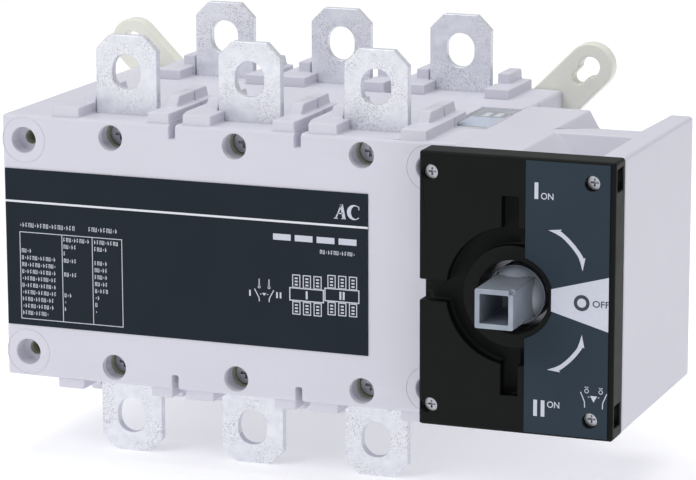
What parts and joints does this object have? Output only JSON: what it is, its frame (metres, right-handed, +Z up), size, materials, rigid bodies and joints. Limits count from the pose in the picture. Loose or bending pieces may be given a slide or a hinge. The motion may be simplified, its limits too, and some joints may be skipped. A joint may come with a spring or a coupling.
{
  "type": "changeover load break switch",
  "caption": "Manual changeover switch: two multi-pole load-break switches one behind the other, worked by a side mechanism with a square handle socket, on swivelling feet.",
  "frame": {"origin": "middle of the wall plane, level with the drive shaft and half way across from the left end of the case to the right end of the mechanism", "axes": "+X to the right seen from the front, +Y into the wall, +Z up; the front faces -Y"},
  "size_m": [0.2577, 0.1677, 0.161],
  "materials": {
    "case_plastic": "fine matt moulded surface",
    "label_film": "printed film",
    "dial_film": "printed film",
    "tinned_copper": "tin plated, slightly grainy",
    "contact_silver": "silver faced",
    "contact_copper": "bright rolled",
    "rotor_plastic": "moulded thermoset",
    "spring_steel": "oiled",
    "gear_steel": "sintered",
    "arc_steel": "zinc plated",
    "fibre": "pressed fibre",
    "screw_steel": "zinc plated",
    "bush_bronze": "sintered bronze",
    "cover_plastic": "fine matt moulded surface",
    "drive_steel": "blue grey zinc plated",
    "clear_plastic": "clear moulded",
    "indicator_plastic": "printed",
    "foot_plastic": "translucent nylon"
  },
  "bodies": {
    "case": {"front_switch_cover": "case_plastic", "front_switch_base": "case_plastic", "rear_switch_base": "case_plastic", "rear_switch_cover": "case_plastic", "rating_label": "label_film", "front_top_terminals": "tinned_copper", "front_bottom_terminals": "tinned_copper", "rear_top_terminals": "tinned_copper", "rear_bottom_terminals": "tinned_copper", "front_fixed_contacts": "contact_silver", "rear_fixed_contacts": "contact_silver", "front_arc_plates": "arc_steel", "rear_arc_plates": "arc_steel", "front_arc_cheeks": "fibre", "rear_arc_cheeks": "fibre", "terminal_screws": "screw_steel", "tie_bolts": "screw_steel", "mechanism_housing": "case_plastic", "mechanism_rear_cover": "case_plastic", "bearing_plate": "screw_steel", "bearing_plate_screws": "screw_steel", "front_bush": "bush_bronze", "rear_bush": "bush_bronze", "stop_pins": "screw_steel", "mechanism_cover": "cover_plastic", "cover_label_plate": "dial_film", "cover_screws": "screw_steel", "indicator_window": "clear_plastic", "foot_screws": "screw_steel"},
    "drive": {"drive_shaft": "drive_steel", "handle_socket": "drive_steel", "front_pinion": "gear_steel", "rear_pinion": "gear_steel", "stop_disc": "gear_steel", "retaining_ring": "spring_steel", "drive_spring": "spring_steel"},
    "front_contact_rotor": {"front_rotor": "rotor_plastic", "front_moving_contacts": "contact_copper", "front_contact_springs": "spring_steel", "front_rotor_gear": "gear_steel"},
    "rear_contact_rotor": {"rear_rotor": "rotor_plastic", "rear_moving_contacts": "contact_copper", "rear_contact_springs": "spring_steel", "rear_rotor_gear": "gear_steel"},
    "position_indicator": {"indicator_slide": "indicator_plastic"},
    "top_left_foot": {"foot_top_left": "foot_plastic"},
    "top_right_foot": {"foot_top_right": "foot_plastic"},
    "bottom_left_foot": {"foot_bottom_left": "foot_plastic"},
    "bottom_right_foot": {"foot_bottom_right": "foot_plastic"}
  },
  "joints": [
    {"name": "drive_turn", "type": "hinge", "parent": "case", "child": "drive", "pos_m": [0.08525, -0.081, 0], "axis": [0, 1, 0], "range_deg": [-90, 90]},
    {"name": "front_rotor_turn", "type": "hinge", "parent": "case", "child": "front_contact_rotor", "pos_m": [-0.02775, -0.09925, 0], "axis": [1, 0, 0], "range_deg": [-45, 45]},
    {"name": "rear_rotor_turn", "type": "hinge", "parent": "case", "child": "rear_contact_rotor", "pos_m": [-0.02775, -0.03575, 0], "axis": [1, 0, 0], "range_deg": [-45, 45]},
    {"name": "indicator_travel", "type": "slide", "parent": "case", "child": "position_indicator", "axis": [0, 1, 0], "range_m": [-0.006, 0.006]},
    {"name": "top_left_foot_pivot", "type": "hinge", "parent": "case", "child": "top_left_foot", "pos_m": [-0.10755, -0.0035, 0.042], "axis": [0, 1, 0], "range_deg": [-45, 45]},
    {"name": "top_right_foot_pivot", "type": "hinge", "parent": "case", "child": "top_right_foot", "pos_m": [0.05205, -0.0035, 0.042], "axis": [0, 1, 0], "range_deg": [-45, 45]},
    {"name": "bottom_left_foot_pivot", "type": "hinge", "parent": "case", "child": "bottom_left_foot", "pos_m": [-0.10755, -0.0035, -0.042], "axis": [0, 1, 0], "range_deg": [-45, 45]},
    {"name": "bottom_right_foot_pivot", "type": "hinge", "parent": "case", "child": "bottom_right_foot", "pos_m": [0.05205, -0.0035, -0.042], "axis": [0, 1, 0], "range_deg": [-45, 45]}
  ],
  "couplings": [
    {"joint": "front_rotor_turn", "follows": "drive_turn", "ratio": -0.5},
    {"joint": "rear_rotor_turn", "follows": "drive_turn", "ratio": -0.5},
    {"joint": "indicator_travel", "follows": "drive_turn", "m_per_rad": 0.0038197}
  ]
}
